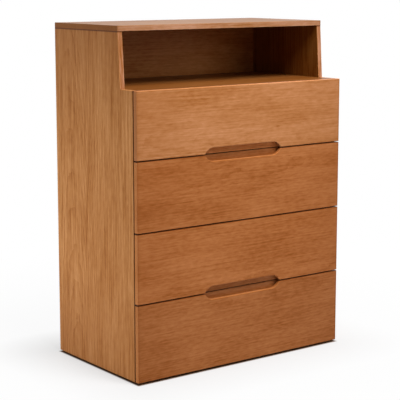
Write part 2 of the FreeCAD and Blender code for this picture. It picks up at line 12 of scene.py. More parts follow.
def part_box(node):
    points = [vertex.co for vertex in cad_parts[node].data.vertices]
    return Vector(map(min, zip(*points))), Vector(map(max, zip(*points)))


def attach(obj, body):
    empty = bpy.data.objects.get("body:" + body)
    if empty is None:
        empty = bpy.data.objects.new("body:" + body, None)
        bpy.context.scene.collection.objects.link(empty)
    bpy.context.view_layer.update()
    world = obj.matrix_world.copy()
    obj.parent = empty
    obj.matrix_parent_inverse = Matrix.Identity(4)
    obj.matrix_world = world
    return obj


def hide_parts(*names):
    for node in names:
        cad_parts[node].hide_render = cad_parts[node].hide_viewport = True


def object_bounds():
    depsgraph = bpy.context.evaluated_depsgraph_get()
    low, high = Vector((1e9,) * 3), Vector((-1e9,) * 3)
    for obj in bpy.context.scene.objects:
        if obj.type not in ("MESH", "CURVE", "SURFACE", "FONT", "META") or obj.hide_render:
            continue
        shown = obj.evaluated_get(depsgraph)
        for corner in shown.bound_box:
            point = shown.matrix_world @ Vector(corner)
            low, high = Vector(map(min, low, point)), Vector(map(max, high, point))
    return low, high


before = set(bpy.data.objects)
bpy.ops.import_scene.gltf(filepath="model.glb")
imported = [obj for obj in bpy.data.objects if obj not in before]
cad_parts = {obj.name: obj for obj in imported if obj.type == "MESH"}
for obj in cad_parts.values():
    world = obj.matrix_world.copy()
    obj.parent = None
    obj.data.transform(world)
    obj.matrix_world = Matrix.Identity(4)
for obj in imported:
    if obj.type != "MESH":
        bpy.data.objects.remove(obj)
CAD_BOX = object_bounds()

bl_info = {
    "name": "Commode chest",
    "version": (1, 0, 0),
    "blender": (4, 5, 0),
    "location": "3D View > Sidebar > Chest",
    "description": "Stains the boards, makes the fittings and lights the chest of drawers",
    "category": "Object",
}

X = Vector((1, 0, 0))
Y = Vector((0, 1, 0))
Z = Vector((0, 0, 1))
DRAWERS = (1, 2, 3, 4)
SIDES = {"left": -1, "right": 1}


def srgb(red, green, blue):
    """A colour given on a scale of 0 to 255, as the linear values that a colour socket holds."""
    shares = (red / 255, green / 255, blue / 255)
    return tuple(s / 12.92 if s <= 0.04045 else ((s + 0.055) / 1.055) ** 2.4 for s in shares)


def opaque(colour, shade=1.0):
    """A colour with its alpha, made lighter or darker by one factor or by one factor for each channel."""
    shades = shade if hasattr(shade, "__len__") else (shade,) * 3
    return (*(min(level * s, 1.0) for level, s in zip(colour, shades)), 1.0)


# Sizes and colours that a user would change

class ChestWood(bpy.types.PropertyGroup):
    """The stained boards that show."""
    side_stain: FloatVectorProperty(
        name="Side stain", description="Middle tone of the side panels",
        subtype="COLOR", min=0, max=1, default=srgb(165, 110, 58))
    front_stain: FloatVectorProperty(
        name="Front stain", description="Middle tone of the drawer fronts",
        subtype="COLOR", min=0, max=1, default=srgb(160, 96, 49))
    top_stain: FloatVectorProperty(
        name="Top stain", description="Middle tone of the top panel, the niche shelf and the niche back",
        subtype="COLOR", min=0, max=1, default=srgb(154, 97, 49))
    ring_spacing: FloatProperty(
        name="Ring spacing", description="Distance between growth rings, measured from the heart of the log",
        unit="LENGTH", min=0.001, default=0.006)
    fleck_width: FloatProperty(
        name="Fleck width", description="Width of the short flecks along the grain",
        unit="LENGTH", min=0.0005, default=0.0065)
    fleck_length: FloatProperty(
        name="Fleck length", description="Length of the short flecks along the grain",
        unit="LENGTH", min=0.001, default=0.024)
    line_width: FloatProperty(
        name="Line width", description="Width of the long lines along the grain",
        unit="LENGTH", min=0.0005, default=0.0045)
    line_length: FloatProperty(
        name="Line length", description="Length of the long lines along the grain",
        unit="LENGTH", min=0.01, default=0.2)
    ring_strength: FloatProperty(
        name="Ring strength", description="How far the dark lines of the growth rings change the tone",
        subtype="FACTOR", min=0, max=1, default=0.5)
    fleck_strength: FloatProperty(
        name="Fleck strength", description="How far the short flecks change the tone",
        subtype="FACTOR", min=0, max=4, default=0.95)
    line_strength: FloatProperty(
        name="Line strength", description="How far the long lines change the tone",
        subtype="FACTOR", min=0, max=4, default=1.9)
    cloud_strength: FloatProperty(
        name="Cloud strength", description="How far broad cloudy patches change the tone",
        subtype="FACTOR", min=0, max=4, default=1.0)
    lacquer_roughness: FloatProperty(
        name="Lacquer roughness", description="Roughness of the satin lacquer",
        subtype="FACTOR", min=0, max=1, default=0.4)
    # The rounded edges are lightened partly as rubbed wear and partly as a painted highlight where light catches
    # them
    edge_wear_and_highlight: FloatProperty(
        name="Edge wear", description="How far the rounded edges are rubbed lighter",
        subtype="FACTOR", min=0, max=1, default=0.8)


class ChestInside(bpy.types.PropertyGroup):
    """The drawer boxes and the boards that are hidden when the drawers are shut."""
    box_wood: FloatVectorProperty(
        name="Box wood", description="Middle tone of the plywood drawer sides and backs",
        subtype="COLOR", min=0, max=1, default=srgb(214, 186, 142))
    thin_board: FloatVectorProperty(
        name="Thin board", description="Middle tone of the drawer bottoms",
        subtype="COLOR", min=0, max=1, default=srgb(176, 138, 98))
    back_veneer: FloatVectorProperty(
        name="Back veneer", description="Middle tone of the veneered back panel",
        subtype="COLOR", min=0, max=1, default=srgb(172, 122, 76))
    dowel_wood: FloatVectorProperty(
        name="Dowel wood", description="Middle tone of the beech dowels",
        subtype="COLOR", min=0, max=1, default=srgb(206, 166, 118))
    ply_thickness: FloatProperty(
        name="Ply thickness", description="Thickness of one layer of the plywood",
        unit="LENGTH", min=0.0005, default=0.0024)


class ChestMetal(bpy.types.PropertyGroup):
    """Runners, screws and glides."""
    runner_steel: FloatVectorProperty(
        name="Runner steel", description="Colour of the zinc-plated runners",
        subtype="COLOR", min=0, max=1, default=srgb(196, 199, 202))
    screw_steel: FloatVectorProperty(
        name="Screw steel", description="Colour of the plated screws",
        subtype="COLOR", min=0, max=1, default=srgb(206, 196, 170))
    glide_plastic: FloatVectorProperty(
        name="Glide plastic", description="Colour of the moulded glides",
        subtype="COLOR", min=0, max=1, default=srgb(44, 36, 31))
    steel_roughness: FloatProperty(
        name="Steel roughness", description="Roughness of the plated steel",
        subtype="FACTOR", min=0, max=1, default=0.34)


class ChestStage(bpy.types.PropertyGroup):
    """Camera, lamps and floor."""
    camera_place: FloatVectorProperty(
        name="Camera place", description="Where the camera stands",
        subtype="TRANSLATION", unit="LENGTH", default=(-2.4745, -3.2896, 1.2062))
    camera_turn: FloatProperty(
        name="Camera turn", description="Angle from straight at the fronts towards the left side",
        unit="ROTATION", default=math.radians(36.961))
    camera_dip: FloatProperty(
        name="Camera dip", description="Angle by which the camera looks down",
        unit="ROTATION", default=math.radians(9.031))
    focal_length: FloatProperty(
        name="Focal length", description="Focal length on a 36 mm sensor, in millimetres",
        min=1, default=115.204)
    frame_shift: FloatProperty(
        name="Frame shift", description="Upward shift of the picture, as a share of its width",
        default=-0.045)
    key_power: FloatProperty(
        name="Key lamp", description="Power of the soft lamp high in front of the chest",
        unit="POWER", min=0, default=188)
    fill_power: FloatProperty(
        name="Fill lamp", description="Power of the broad low lamp in front of the chest",
        unit="POWER", min=0, default=26)
    side_power: FloatProperty(
        name="Side lamps", description="Power of each of the soft lamps to the left and right of the chest",
        unit="POWER", min=0, default=25.5)
    rear_power: FloatProperty(
        name="Rear lamp", description="Power of the soft lamp behind the chest",
        unit="POWER", min=0, default=46)
    room_light: FloatProperty(
        name="Room light", description="Strength of the even light from all round",
        min=0, default=0.12)
    floor_colour: FloatVectorProperty(
        name="Floor", description="Colour of the floor",
        subtype="COLOR", min=0, max=1, default=(0.6, 0.6, 0.6))
    floor_bounce: FloatProperty(
        name="Floor bounce", description="Share of the light on the floor that it throws back at the chest",
        subtype="FACTOR", min=0, max=1, default=0.5)
    floor_glow: FloatProperty(
        name="Floor glow", description="Share of the floor's white that does not depend on the lamps",
        subtype="FACTOR", min=0, max=1, default=0.6)
    floor_radius: FloatProperty(
        name="Floor radius", description="How far the floor reaches",
        unit="LENGTH", min=2, default=40)


# Building materials out of nodes

NOISE_MIDDLE = 0.5


class Finish:
    """A material that is being put together: adds nodes and sets or links their inputs."""

    def __init__(self, name, data=None):
        self.material = data or bpy.data.materials.new(name)
        self.material.use_nodes = True
        self.tree = self.material.node_tree
        self.tree.nodes.clear()

    def node(self, kind, inputs=None, **settings):
        """A new shader node. Inputs are values to set or sockets to link."""
        node = self.tree.nodes.new("ShaderNode" + kind)
        for setting, value in settings.items():
            setattr(node, setting, value)
        for socket, value in (inputs or {}).items():
            if isinstance(value, bpy.types.NodeSocket):
                self.tree.links.new(value, node.inputs[socket])
            else:
                node.inputs[socket].default_value = value
        return node

    def math(self, operation, *values):
        return self.node("Math", dict(enumerate(values)), operation=operation).outputs[0]

    def vector(self, operation, *values):
        result = self.node("VectorMath", dict(enumerate(values)), operation=operation)
        return result.outputs["Value" if operation in ("DOT_PRODUCT", "LENGTH") else "Vector"]

    def noise(self, place, frequency, seed=0.0, detail=3.0, roughness=0.5):
        """Noise with its own frequency along, across and through a board."""
        spread = self.vector("MULTIPLY", place, frequency)
        inputs = {"Vector": spread, "W": seed, "Scale": 1.0, "Detail": detail, "Roughness": roughness}
        return self.node("TexNoise", inputs, noise_dimensions="4D")

    def vary(self, tone, noise, strength):
        """A tone that a noise makes lighter where it is above its middle and darker where it is below."""
        return self.math("MULTIPLY_ADD", self.math("SUBTRACT", noise, NOISE_MIDDLE), strength, tone)

    def ramp(self, factor, *stops):
        """A colour ramp through pairs of position and level or colour."""
        ramp = self.node("ValToRGB", {"Fac": factor})
        elements = ramp.color_ramp.elements
        while len(elements) < len(stops):
            elements.new(1.0)
        for element, (position, colour) in zip(elements, stops):
            element.position = position
            element.color = colour if hasattr(colour, "__len__") else (colour, colour, colour, 1.0)
        return ramp.outputs["Color"]

    def mix(self, factor, first, second, blend="MIX"):
        inputs = {"Factor": factor, 6: first, 7: second}
        return self.node("Mix", inputs, data_type="RGBA", blend_type=blend).outputs[2]

    def bump(self, height, strength, distance):
        return self.node("Bump", {"Height": height, "Strength": strength, "Distance": distance}).outputs["Normal"]

    def surface(self, shader):
        self.node("OutputMaterial", {"Surface": shader.outputs[0]})
        return self.material


END_SOAK = 0.22
# How a board was cut: the direction of its grain, the direction across its face, the place of the log's heart
# from the middle of the board (across and through, in metres), the tilt of the log, a seed, the tone of the
# board, the shares of rings with long lines and of short flecks that it shows, the tints of faces that look in
# given directions, the joints where its edges close against a neighbour, its knots, and how much more stain the
# ends of its grain have soaked up
Board = namedtuple("Board", "grain across heart tilt seed tone figure flecks tints joints knots soak",
                   defaults=(1.0, 1.0, 1.0, (), (), (), END_SOAK))
Tint = namedtuple("Tint", "direction colour none full")
Joint = namedtuple("Joint", "direction band")
Knot = namedtuple("Knot", "along across length width")
# How squarely a face looks in a direction, from where its tint begins to where it is full
FLAT_FACE = (0.9985, 0.9995)
SLANTED_FACE = (0.97, 0.98)


def on_flat(direction, colour):
    """A tint of the flat faces that look straight in a direction."""
    return Tint(direction, colour, *FLAT_FACE)


# Painted shade: the faces behind the drawer fronts and the carcass front edges behind them are made almost black,
# so that the gaps between fronts and carcass look shaded
SHUT_EDGE_SHADE = (0.07, 0.06, 0.05, 1.0)
DARK_END = (1.06, 0.93, 0.53, 1.0)
# Painted highlight: lightens the flat upward-looking edges of front 1 and of the steps of the side panels, where
# light from above catches them; it also lightens the front edge of the top
PALE_EDGE_AND_HIGHLIGHT = (1.45, 1.55, 2.2, 1.0)
PALE_END = (1.33, 1.55, 1.7, 1.0)
# Painted highlight: lightens and whitens the slanted front edges of the side panels beside the niche, as if lit
NICHE_EDGE_HIGHLIGHT = (1.68, 1.82, 3.4, 1.0)
# Painted shade: darkens the inner faces of the side panels, which form the cheeks of the niche
NICHE_CHEEK_SHADE = (0.7, 0.6, 0.36, 1.0)
TOP_TINTS = (on_flat(X, DARK_END), on_flat(-X, DARK_END), on_flat(-Y, PALE_EDGE_AND_HIGHLIGHT))
FRONT_TINTS = (on_flat(X, PALE_END), on_flat(-X, PALE_END), on_flat(Y, SHUT_EDGE_SHADE))
# The slanted edges beside the niche look nearly along -Y, and the upright ones behind the drawer fronts straight
SIDE_TINTS = (Tint(-Y, NICHE_EDGE_HIGHLIGHT, *SLANTED_FACE), on_flat(-Y, SHUT_EDGE_SHADE), on_flat(Z, PALE_EDGE_AND_HIGHLIGHT))
TOP_FRONT_TINTS = (on_flat(Y, SHUT_EDGE_SHADE), on_flat(Z, PALE_EDGE_AND_HIGHLIGHT))

# Darkens narrow bands of the faces beside joints
JOINT_DARKENING = (0.3, 0.2, 0.1, 1.0)
# Widths of the darkened bands beside joints
FRONT_JOINT = 0.0018
TOP_JOINT = 0.005
SIDE_JOINTS = (Joint(-Y, FRONT_JOINT), Joint(Z, TOP_JOINT))
LOWER_JOINTS = (Joint(-Z, FRONT_JOINT),)
BOTH_JOINTS = (Joint(Z, FRONT_JOINT), *LOWER_JOINTS)
TOP_FRONT_KNOTS = (Knot(0.137, -0.035, 0.024, 0.009),)
SIDE_SOAK = 0.42

SIDE_BOARDS = {
    "side_panel_left": Board(Z, Y, (-0.125, 0.16), -0.05, 1.0, 1.0, 1.0, 0.8,
                             (*SIDE_TINTS, on_flat(X, NICHE_CHEEK_SHADE)), SIDE_JOINTS, soak=SIDE_SOAK),
    "side_panel_right": Board(Z, Y, (0.1, 0.15), 0.045, 2.0, 1.0, 1.0, 0.8,
                              (*SIDE_TINTS, on_flat(-X, NICHE_CHEEK_SHADE)), SIDE_JOINTS, soak=SIDE_SOAK),
}
NICHE_BOARDS = {
    "top_panel": Board(X, Y, (0.2, 0.14), 0.02, 3.0, (0.76, 0.88, 1.15), 0.4, 1.0, TOP_TINTS),
    # The niche shelf is made darker and the niche back lighter than the top, as painted shade and painted light
    # inside the niche
    "niche_shelf": Board(X, Y, (-0.06, 0.12), -0.02, 4.0, (0.64, 0.59, 0.5), 0.4),
    "niche_back": Board(X, Z, (0.05, 0.2), 0.01, 5.0, 1.42, 0.4),
}
FRONT_BOARDS = {
    # Front 1 is made lighter and paler than the others, as a painted sheen of the light high above it
    1: Board(X, Z, (0.06, 0.12), 0.03, 11.0, (1.18, 1.42, 1.9), 0.4, 0.8,
             TOP_FRONT_TINTS, LOWER_JOINTS, TOP_FRONT_KNOTS),
    2: Board(X, Z, (-0.05, 0.1), -0.025, 12.0, 1.0, 0.4, 1.0, FRONT_TINTS, BOTH_JOINTS),
    3: Board(X, Z, (0.09, 0.13), 0.02, 13.0, 1.03, 0.4, 1.0, FRONT_TINTS, BOTH_JOINTS),
    4: Board(X, Z, (-0.08, 0.1), -0.03, 14.0, 0.95, 0.4, 1.0, FRONT_TINTS, BOTH_JOINTS),
}
# Painted light and shade: the inner fronts seen in the upper halves of the slots are made lighter, and those in
# the lower halves darker
INNER_FRONT_LIGHT_AND_SHADE = {1: 1.45, 2: 0.8, 3: 1.1, 4: 0.8}
INNER_SEED = 20


def board_place(finish, node, board):
    """Coordinates from the board's middle: X along the grain, Y across the face and Z through the board."""
    turn = Matrix((board.grain, board.across, board.grain.cross(board.across)))
    low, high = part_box(node)
    middle = turn @ ((low + high) / 2)
    source = finish.node("TexCoord").outputs["Object"]
    mapping = {"Vector": source, "Location": -middle, "Rotation": turn.to_euler()}
    return finish.node("Mapping", mapping).outputs["Vector"]


def turned(finish, direction):
    """How squarely a surface looks in a direction: 1 straight along it, -1 straight against it."""
    return finish.vector("DOT_PRODUCT", finish.node("TexCoord").outputs["Normal"], direction)


def facing(finish, direction):
    """How squarely a surface looks in a direction or its opposite, from 0 to 1."""
    return finish.math("ABSOLUTE", turned(finish, direction))


def edge_mask(finish, board):
    """1 on the rounded edges of a board's faces, 0 on its flat faces and edges."""
    through = facing(finish, board.grain.cross(board.across))
    return finish.ramp(through, (0.1, 0), (0.3, 1), (0.85, 1), (0.97, 0))


# Distance between the rings of the wave texture at a scale of 1
WAVE_PERIOD = 2 * math.pi / 20
RING_WARP = {"Distortion": 2.5, "Detail": 2.0, "Detail Scale": 0.6}
# Power that narrows a ring to the dark line of its late wood
LATE_WOOD = 4.0
MIDDLE_TONE = 0.5

# Frequencies of noise along, across and through a board, per metre
SWAY = (1.1, 5, 5)
FADING = (2, 14, 14)
CLOUDS = (3, 12, 12)
PORES = (25, 1300, 1300)
RUBBING = (30, 60, 60)
SWAY_REACH = (0, 0.008, 0.008)

# Added to the seed of a board, so that its patterns differ
LINES_SEED = 30
CLOUDS_SEED = 50
FADING_SEED = 70

GRAIN_DARK = (0.63, 0.45, 0.08)
GRAIN_LIGHT = (1.33, 1.53, 2.05)
SOAKED_TINT = (0.6, 0.48, 0.29)
# Lighter tone of the rounded edges: partly rubbed wear, partly a painted highlight
WORN_AND_HIGHLIGHT_TINT = (1.8, 1.95, 2.1)
PORE_TINT = 0.35
PORE_DEPTH = 0.6
GLOSS_SPREAD = 0.16
# Share of the wear and painted highlight on edges that cross the grain, where the stain has soaked in deeper
END_WEAR_AND_HIGHLIGHT = 0.2
END_BAND = 0.007
END_BAND_SOAK = 0.6


def grain(finish, place, board, wood):
    """The figure of stained wood: rings, long lines, flecks and clouds together as one tone, the flecks alone,
    and the place that they sway with."""
    drift = finish.noise(place, SWAY, board.seed, detail=2).outputs["Color"]
    sway = finish.vector("SUBTRACT", drift, (NOISE_MIDDLE,) * 3)
    wavy = finish.vector("ADD", place, finish.vector("MULTIPLY", sway, SWAY_REACH))
    log = {"Vector": wavy, "Location": (0, *board.heart), "Rotation": (0, board.tilt, board.tilt)}
    rings = finish.node("TexWave", {
        "Vector": finish.node("Mapping", log).outputs["Vector"], "Scale": WAVE_PERIOD / wood.ring_spacing,
        "Phase Offset": board.seed, **RING_WARP,
    }, wave_type="RINGS", rings_direction="X", wave_profile="SAW").outputs["Fac"]
    patches = finish.noise(place, FADING, board.seed + FADING_SEED, detail=2).outputs["Fac"]
    fading = finish.ramp(patches, (0.3, 0.15), (0.62, 1))
    late_wood = finish.math("MULTIPLY", finish.math("POWER", rings, LATE_WOOD), fading)
    fine = 1 / wood.fleck_width
    thin = 1 / wood.line_width
    fleck_frequency = (1 / wood.fleck_length, fine, fine)
    line_frequency = (1 / wood.line_length, thin, thin)
    flecks = finish.noise(wavy, fleck_frequency, board.seed, detail=3, roughness=0.55).outputs["Fac"]
    lines = finish.noise(wavy, line_frequency, board.seed + LINES_SEED, detail=2).outputs["Fac"]
    clouds = finish.noise(wavy, CLOUDS, board.seed + CLOUDS_SEED, detail=2).outputs["Fac"]
    tone = finish.math("MULTIPLY_ADD", late_wood, -wood.ring_strength * board.figure, MIDDLE_TONE)
    tone = finish.vary(tone, flecks, wood.fleck_strength * board.flecks)
    tone = finish.vary(tone, lines, wood.line_strength * board.figure)
    tone = finish.vary(tone, clouds, wood.cloud_strength)
    return tone, flecks, wavy


def near_ends(finish, place, node, board):
    """How far the stain has soaked in: a little more towards the ends of the grain, most in a narrow end band."""
    low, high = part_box(node)
    half = abs((high - low) @ board.grain) / 2
    along = finish.math("ABSOLUTE", finish.node("SeparateXYZ", {"Vector": place}).outputs["X"])
    share = finish.math("DIVIDE", along, half)
    return finish.ramp(share, (0.45, 0), (1 - END_BAND / half, board.soak), (1.0, END_BAND_SOAK))


def beside_joints(finish, node, board):
    """Masks of the narrow bands along the edges that close against a neighbour."""
    place = finish.node("TexCoord").outputs["Object"]
    for joint in board.joints:
        edge = max(corner @ joint.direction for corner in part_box(node))
        from_edge = finish.math("SUBTRACT", edge, finish.vector("DOT_PRODUCT", place, joint.direction))
        yield finish.ramp(finish.math("DIVIDE", from_edge, joint.band), (0.4, 1), (1.0, 0))


def on_knots(finish, place, board):
    """Masks of the small dark knots, soft towards their rims."""
    for knot in board.knots:
        offset = finish.vector("SUBTRACT", place, (knot.along, knot.across, 0))
        spread = finish.vector("MULTIPLY", offset, (2 / knot.length, 2 / knot.width, 0))
        yield finish.ramp(finish.vector("LENGTH", spread), (0.2, 0.75), (1.0, 0))


def stained_wood(name, node, board, stain, wood):
    """Stained and lacquered wood, cut from its own place in a log."""
    finish = Finish(name)
    place = board_place(finish, node, board)
    tone, flecks, wavy = grain(finish, place, board, wood)
    middle = opaque(stain, board.tone)
    dark = opaque(middle[:3], GRAIN_DARK)
    light = opaque(middle[:3], GRAIN_LIGHT)
    colour = finish.ramp(tone, (0.0, dark), (MIDDLE_TONE, middle), (1.0, light))
    pores = finish.noise(wavy, PORES, board.seed, detail=2).outputs["Fac"]
    pore_lines = finish.ramp(pores, (0.6, 0), (0.72, 1))
    colour = finish.mix(finish.math("MULTIPLY", pore_lines, PORE_TINT), colour, dark)
    # Rounded edges along the grain are lightened, partly as rubbed wear and partly as a painted highlight of the
    # light catching them
    rubbed = finish.ramp(finish.noise(place, RUBBING, board.seed).outputs["Fac"], (0.3, 0.5), (0.6, 1))
    kept = finish.ramp(facing(finish, board.grain), (0.2, wood.edge_wear_and_highlight), (0.6, END_WEAR_AND_HIGHLIGHT * wood.edge_wear_and_highlight))
    wear_and_highlight = finish.math("MULTIPLY", edge_mask(finish, board), finish.math("MULTIPLY", rubbed, kept))
    colour = finish.mix(wear_and_highlight, colour, opaque(middle[:3], WORN_AND_HIGHLIGHT_TINT))
    colour = finish.mix(near_ends(finish, place, node, board), colour, opaque(middle[:3], SOAKED_TINT))
    for knot in on_knots(finish, wavy, board):
        colour = finish.mix(knot, colour, dark)
    # Tints of the faces that look in given directions; several of them are painted highlight and painted shade
    for tint in board.tints:
        looks = finish.ramp(turned(finish, tint.direction), (tint.none, 0), (tint.full, 1))
        colour = finish.mix(looks, colour, tint.colour, "MULTIPLY")
    for joint in beside_joints(finish, node, board):
        colour = finish.mix(joint, colour, JOINT_DARKENING, "MULTIPLY")
    roughness = finish.math("MULTIPLY_ADD", flecks, GLOSS_SPREAD, wood.lacquer_roughness - GLOSS_SPREAD / 2)
    relief = finish.math("SUBTRACT", flecks, finish.math("MULTIPLY", pore_lines, PORE_DEPTH))
    return finish.surface(finish.node("BsdfPrincipled", {
        "Base Color": colour, "Roughness": roughness,
        "Normal": finish.bump(relief, strength=0.25, distance=0.0003),
        "Specular IOR Level": 0.1, "Coat Weight": 0.04, "Coat Roughness": 0.3,
    }))


def dress(node, material):
    """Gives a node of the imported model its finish."""
    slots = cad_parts[node].data.materials
    slots.clear()
    slots.append(material)


class CHEST_OT_side_panels(bpy.types.Operator):
    """Stain the two side panels, with the grain upright"""
    bl_idname = "chest.side_panels"
    bl_label = "Side Panels"

    def execute(self, context):
        wood = context.scene.chest_wood
        for node, board in SIDE_BOARDS.items():
            dress(node, stained_wood(f"stain_{node}", node, board, wood.side_stain, wood))
        return {"FINISHED"}


class CHEST_OT_top_and_niche(bpy.types.Operator):
    """Stain the top panel, the niche shelf and the niche back, with the grain across"""
    bl_idname = "chest.top_and_niche"
    bl_label = "Top and Niche"

    def execute(self, context):
        wood = context.scene.chest_wood
        for node, board in NICHE_BOARDS.items():
            dress(node, stained_wood(f"stain_{node}", node, board, wood.top_stain, wood))
        return {"FINISHED"}


class CHEST_OT_drawer_fronts(bpy.types.Operator):
    """Stain the four drawer fronts and the inner fronts behind them, with the grain across"""
    bl_idname = "chest.drawer_fronts"
    bl_label = "Drawer Fronts"

    def execute(self, context):
        wood = context.scene.chest_wood
        for number, board in FRONT_BOARDS.items():
            seed = board.seed + INNER_SEED
            inner = board._replace(seed=seed, tone=INNER_FRONT_LIGHT_AND_SHADE[number], tints=(), joints=(), knots=())
            for node, cut in ((f"drawer_{number}_front", board), (f"drawer_{number}_inner_front", inner)):
                dress(node, stained_wood(f"stain_{node}", node, cut, wood.front_stain, wood))
        return {"FINISHED"}


WOOD_FIBRES = (5, 300, 300)
WOOD_CLOUDS = (2, 12, 12)
WOOD_FIBRE_STRENGTH = 0.8
PRESSED_FLECKS = (260, 420, 420)
PRESSED_CLOUDS = (7, 9, 9)
PRESSED_CLOUD_STRENGTH = 0.4
BARE_ROUGHNESS = 0.5
BARE_SPREAD = 0.2


def plain_board(grain, across, seed):
    """A board that shows no rings, so that it needs no place in a log."""
    return Board(grain, across, (0, 0), 0, seed)


def plain_wood(name, node, board, colour, ply_thickness=None):
    """Pale bare wood with a fine grain. Plywood shows its layers on its edges."""
    finish = Finish(name)
    place = board_place(finish, node, board)
    fibres = finish.noise(place, WOOD_FIBRES, board.seed, detail=4, roughness=0.6).outputs["Fac"]
    clouds = finish.noise(place, WOOD_CLOUDS, board.seed + CLOUDS_SEED).outputs["Fac"]
    tone = finish.vary(clouds, fibres, WOOD_FIBRE_STRENGTH)
    shade = finish.ramp(tone, (0.2, opaque(colour, (0.72, 0.66, 0.6))), (MIDDLE_TONE, opaque(colour)),
                        (0.8, opaque(colour, (1.12, 1.14, 1.18))))
    if ply_thickness:
        depth = finish.node("SeparateXYZ", {"Vector": place}).outputs["Z"]
        layer = finish.math("PINGPONG", finish.math("ADD", depth, ply_thickness / 2), ply_thickness)
        lines = finish.ramp(finish.math("DIVIDE", layer, ply_thickness), (0.42, 0), (0.58, 1))
        on_edge = finish.ramp(facing(finish, board.grain.cross(board.across)), (0.2, 0.55), (0.5, 0))
        layers = finish.math("MULTIPLY", lines, on_edge)
        shade = finish.mix(layers, shade, opaque(colour, (0.5, 0.42, 0.34)))
    roughness = finish.math("MULTIPLY_ADD", fibres, BARE_SPREAD, BARE_ROUGHNESS)
    return finish.surface(finish.node("BsdfPrincipled", {
        "Base Color": shade, "Roughness": roughness, "Normal": finish.bump(fibres, strength=0.2, distance=0.0002),
        "Specular IOR Level": 0.35,
    }))


def pressed_board(name, node, board, colour):
    """Thin pressed board: short pale and dark fibres in every direction."""
    finish = Finish(name)
    place = board_place(finish, node, board)
    flecks = finish.noise(place, PRESSED_FLECKS, board.seed, detail=4, roughness=0.65).outputs["Fac"]
    clouds = finish.noise(place, PRESSED_CLOUDS, board.seed + CLOUDS_SEED).outputs["Fac"]
    tone = finish.vary(flecks, clouds, PRESSED_CLOUD_STRENGTH)
    shade = finish.ramp(tone, (0.2, opaque(colour, (0.7, 0.65, 0.6))), (MIDDLE_TONE, opaque(colour)),
                        (0.8, opaque(colour, (1.15, 1.18, 1.22))))
    roughness = finish.math("MULTIPLY_ADD", flecks, BARE_SPREAD, BARE_ROUGHNESS)
    return finish.surface(finish.node("BsdfPrincipled", {
        "Base Color": shade, "Roughness": roughness, "Normal": finish.bump(flecks, strength=0.15, distance=0.0002),
        "Specular IOR Level": 0.3,
    }))


class CHEST_OT_drawer_boxes(bpy.types.Operator):
    """Finish the plywood drawer boxes and their thin bottoms"""
    bl_idname = "chest.drawer_boxes"
    bl_label = "Drawer Boxes"

    def execute(self, context):
        inside = context.scene.chest_inside
        for number in DRAWERS:
            boards = {
                "side_left": plain_board(Y, Z, 30.0 + number),
                "side_right": plain_board(Y, Z, 40.0 + number),
                "back": plain_board(X, Z, 50.0 + number),
            }
            for part, board in boards.items():
                node = f"drawer_{number}_{part}"
                dress(node, plain_wood(f"plywood_{node}", node, board, inside.box_wood, inside.ply_thickness))
            node = f"drawer_{number}_bottom"
            board = plain_board(X, Y, 60.0 + number)
            dress(node, pressed_board(f"thin_board_{node}", node, board, inside.thin_board))
        return {"FINISHED"}


class CHEST_OT_hidden_boards(bpy.types.Operator):
    """Finish the bottom panel, the back panel and the dowels"""
    bl_idname = "chest.hidden_boards"
    bl_label = "Hidden Boards"

    def execute(self, context):
        inside = context.scene.chest_inside
        bottom = plain_board(X, Y, 70.0)
        dress("bottom_panel", plain_wood("plywood_bottom_panel", "bottom_panel", bottom, inside.box_wood,
                                         inside.ply_thickness))
        back = plain_board(Z, X, 71.0)
        dress("back_panel", plain_wood("veneer_back_panel", "back_panel", back, inside.back_veneer))
        dowels = plain_board(X, Y, 72.0)
        dress("carcass_dowels", plain_wood("dowel_beech", "carcass_dowels", dowels, inside.dowel_wood))
        return {"FINISHED"}


ROLLING_LINES = (900, 12, 900)
ROLLING_STRENGTH = 0.5
PLATE_CLOUDS = (60, 25, 60)
PLATE_SPREAD = 0.24


def plated_steel(name, colour, roughness):
    """Plated steel with faint rolling lines along Y and cloudy gloss."""
    finish = Finish(name)
    place = finish.node("TexCoord").outputs["Object"]
    lines = finish.noise(place, ROLLING_LINES, seed=80.0).outputs["Fac"]
    clouds = finish.noise(place, PLATE_CLOUDS, seed=81.0).outputs["Fac"]
    tone = finish.vary(clouds, lines, ROLLING_STRENGTH)
    shade = finish.ramp(tone, (0.25, opaque(colour, 0.72)), (MIDDLE_TONE, opaque(colour)),
                        (0.8, opaque(colour, 1.15)))
    gloss = finish.math("MULTIPLY_ADD", tone, PLATE_SPREAD, roughness - PLATE_SPREAD / 2)
    return finish.surface(finish.node("BsdfPrincipled", {
        "Base Color": shade, "Roughness": gloss, "Normal": finish.bump(lines, strength=0.1, distance=0.0001),
        "Metallic": 1.0,
    }))


# Modelling the fittings

SHARP = math.radians(35)


def finish_piece(name, shape, material, body, slot, *nodes):
    """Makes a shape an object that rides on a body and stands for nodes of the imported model."""
    bmesh.ops.recalc_face_normals(shape, faces=shape.faces)
    for face in shape.faces:
        face.smooth = True
    for edge in shape.edges:
        edge.smooth = edge.calc_face_angle(0.0) < SHARP
    mesh = bpy.data.meshes.new(name)
    shape.to_mesh(mesh)
    shape.free()
    mesh.materials.append(material)
    piece = bpy.data.objects.new(name, mesh)
    bpy.context.scene.collection.objects.link(piece)
    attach(piece, body)
    if nodes:
        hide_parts(*nodes)


def chain(shape, points):
    """Vertices joined one after the other by edges."""
    corners = [shape.verts.new(point) for point in points]
    return corners + [shape.edges.new(pair) for pair in zip(corners, corners[1:])]


def lathe(shape, outline, steps):
    """Spins an outline of pairs of radius and height once round Z."""
    ring = chain(shape, [(0, radius, height) for radius, height in outline])
    bmesh.ops.spin(shape, geom=ring, axis=Z, angle=2 * math.pi, steps=steps, use_merge=True)


